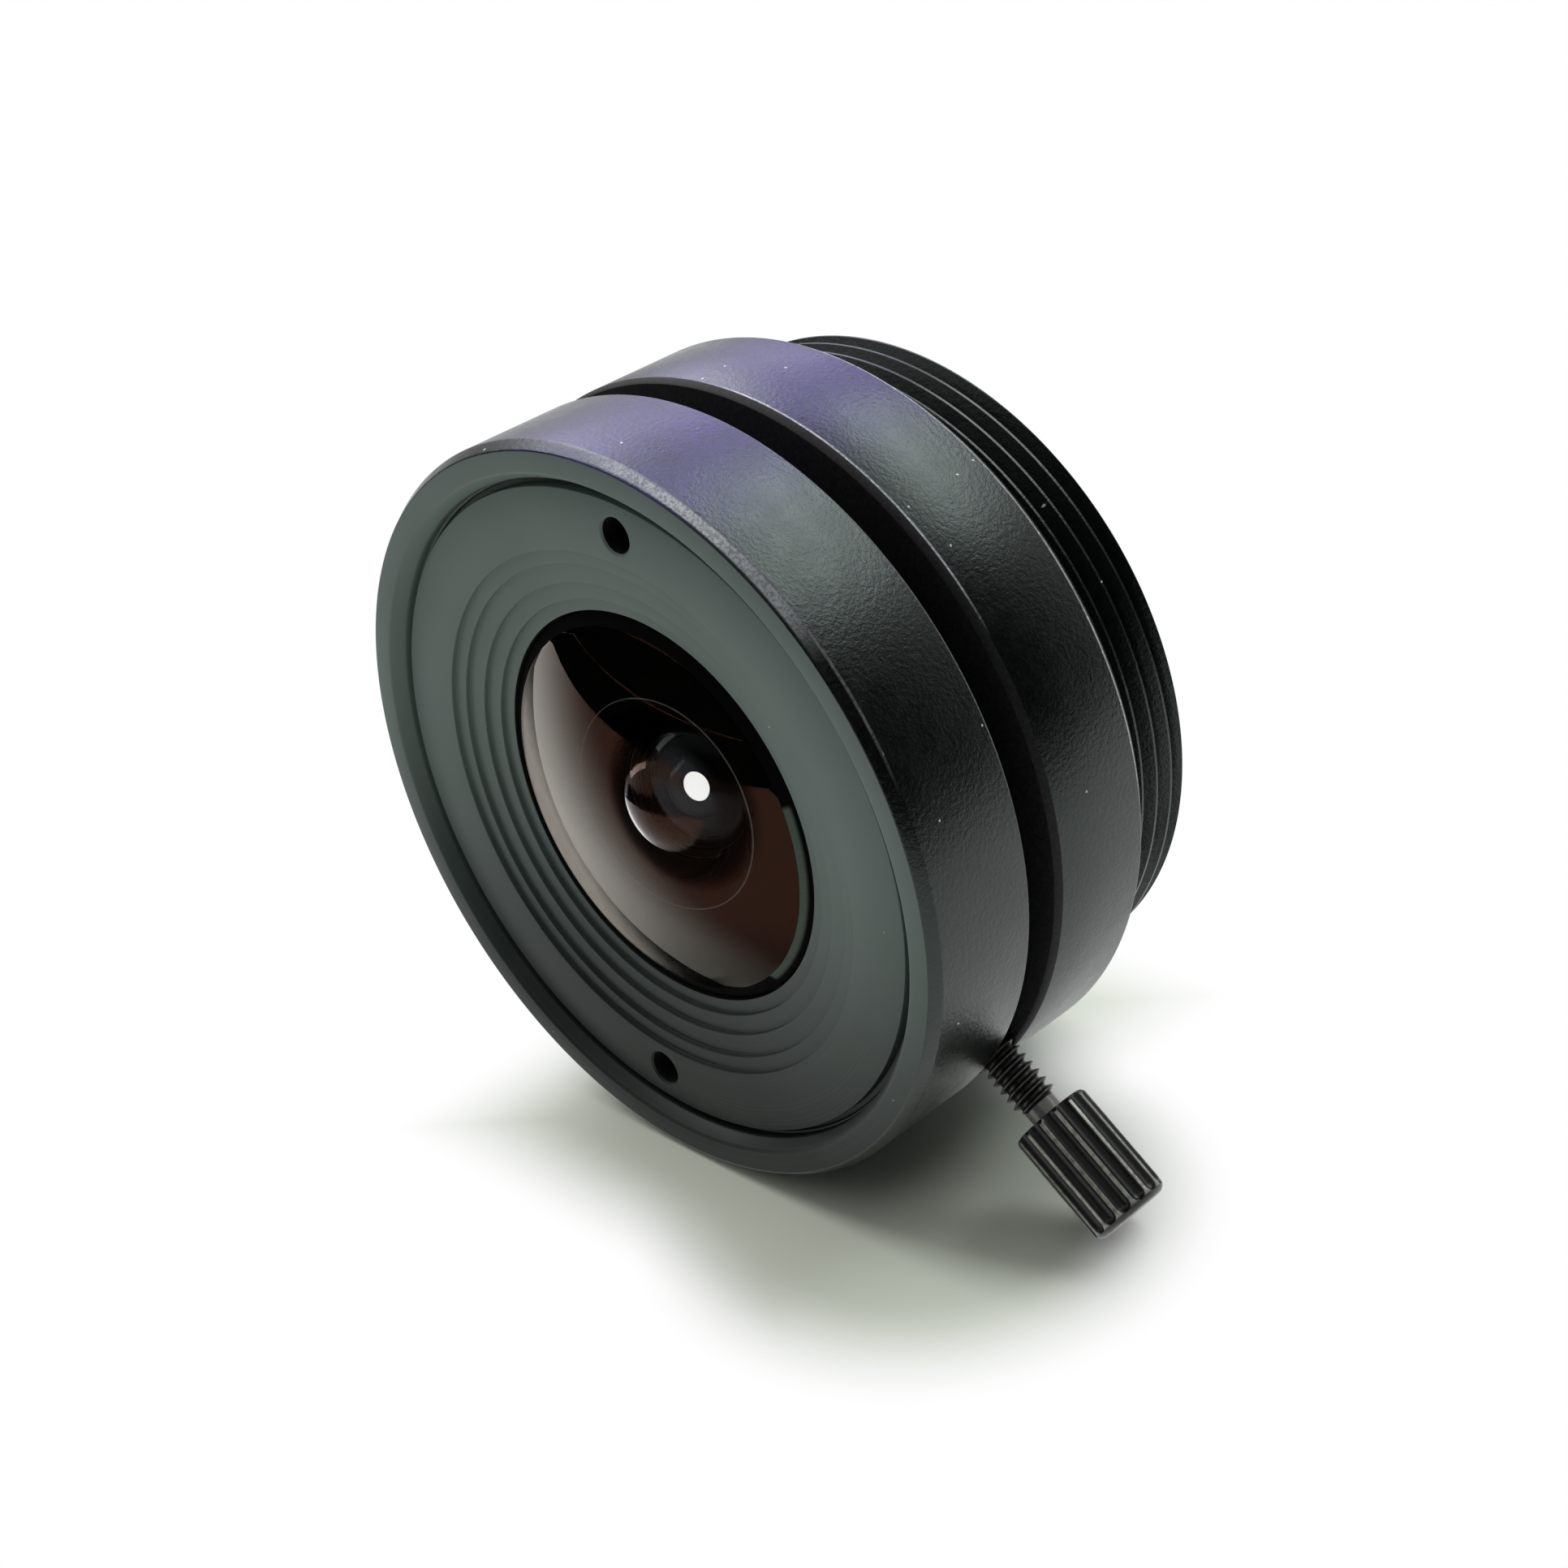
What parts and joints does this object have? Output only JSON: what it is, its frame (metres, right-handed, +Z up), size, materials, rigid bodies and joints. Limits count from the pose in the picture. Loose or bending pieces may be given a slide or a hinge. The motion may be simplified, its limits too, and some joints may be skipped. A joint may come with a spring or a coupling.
{
  "type": "cctv lens",
  "caption": "Small manual-focus wide-angle camera lens with a turning focus ring, a domed front glass, a thumb lock screw and a fine threaded rear mount.",
  "frame": {"origin": "centre of the flange plane, the face that seats on the camera", "axes": "-Y out of the front glass along the optical axis, +Y out of the rear thread into the camera, +Z up, +X the side of the thumb screw"},
  "size_m": [0.0313, 0.0151, 0.028],
  "materials": {
    "black_blasted": "bead-blasted, black anodised, bright where the edges are worn",
    "black_turned": "finely turned, black anodised",
    "black_inner": "dull black anodised",
    "screw_black": "blackened, bright on the flute crests",
    "pad_brass": "plain turned",
    "seal_rubber": "dull",
    "glass_coated": "polished, coated against reflections",
    "glass_inner": "polished, coated, with blackened edges"
  },
  "bodies": {
    "base": {"mount_base": "black_blasted"},
    "helicoid_carrier": {"damping_ring": "seal_rubber"},
    "focus_group": {"focus_ring": "black_blasted", "front_plate": "black_turned", "front_seal": "seal_rubber", "front_element": "glass_coated", "lens_barrel": "black_inner", "front_group_ring": "black_inner", "second_element": "glass_inner", "front_spacer": "black_inner", "third_element": "glass_inner", "aperture_disc": "black_inner", "stop_spacer": "black_inner", "doublet_front": "glass_inner", "doublet_rear": "glass_inner", "rear_spacer": "black_inner", "rear_element": "glass_inner", "rear_retaining_ring": "black_inner", "travel_stop_ring": "black_inner"},
    "pad": {"lock_pad": "pad_brass"},
    "thumb_screw": {"lock_screw": "screw_black"}
  },
  "joints": [
    {"name": "focus_travel", "type": "slide", "parent": "base", "child": "helicoid_carrier", "axis": [0, -1, 0], "range_m": [0, 0.00091]},
    {"name": "focus_turn", "type": "hinge", "parent": "helicoid_carrier", "child": "focus_group", "pos_m": [0, 0, 0], "axis": [0, -1, 0], "range_deg": [0, 324]},
    {"name": "lock_travel", "type": "slide", "parent": "base", "child": "pad", "axis": [0.7868, 0, -0.6172], "range_m": [0, 0.0007]},
    {"name": "lock_turn", "type": "hinge", "parent": "pad", "child": "thumb_screw", "pos_m": [0, -0.0053, 0], "axis": [0.7868, 0, -0.6172], "range_deg": [0, 722]}
  ],
  "couplings": [
    {"joint": "focus_travel", "follows": "focus_turn", "m_per_rad": 0.00015915},
    {"joint": "lock_turn", "follows": "lock_travel", "rad_per_m": 17952}
  ]
}
